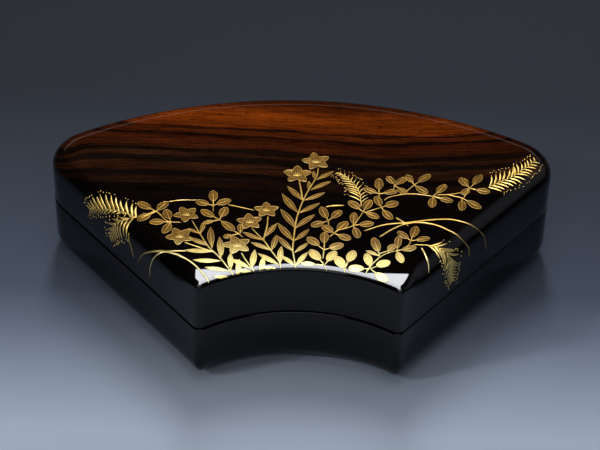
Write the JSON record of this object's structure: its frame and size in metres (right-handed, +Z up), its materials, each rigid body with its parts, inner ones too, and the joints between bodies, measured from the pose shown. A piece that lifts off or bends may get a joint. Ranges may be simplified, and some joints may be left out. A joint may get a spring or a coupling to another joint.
{
  "type": "incense box",
  "caption": "Small fan-shaped incense box of dark striped wood under clear lacquer, with a low base, a flat lift-off lid and autumn plants painted in gold over the lid's front half and edge.",
  "frame": {"origin": "centre of the footprint's bounding box, on the surface that the box stands on", "axes": "+Z up through the lid, +Y towards the long back edge of the fan, +X to the right for someone who faces the short front edge"},
  "size_m": [0.092, 0.0586, 0.0216],
  "materials": {
    "base_wood": "near-black ebony under clear gloss lacquer",
    "lid_wood": "striped ebony under clear gloss lacquer",
    "gold": "gold powder set in lacquer, satin"
  },
  "bodies": {
    "root": {"base": "base_wood", "lid": "lid_wood"}
  },
  "joints": []
}
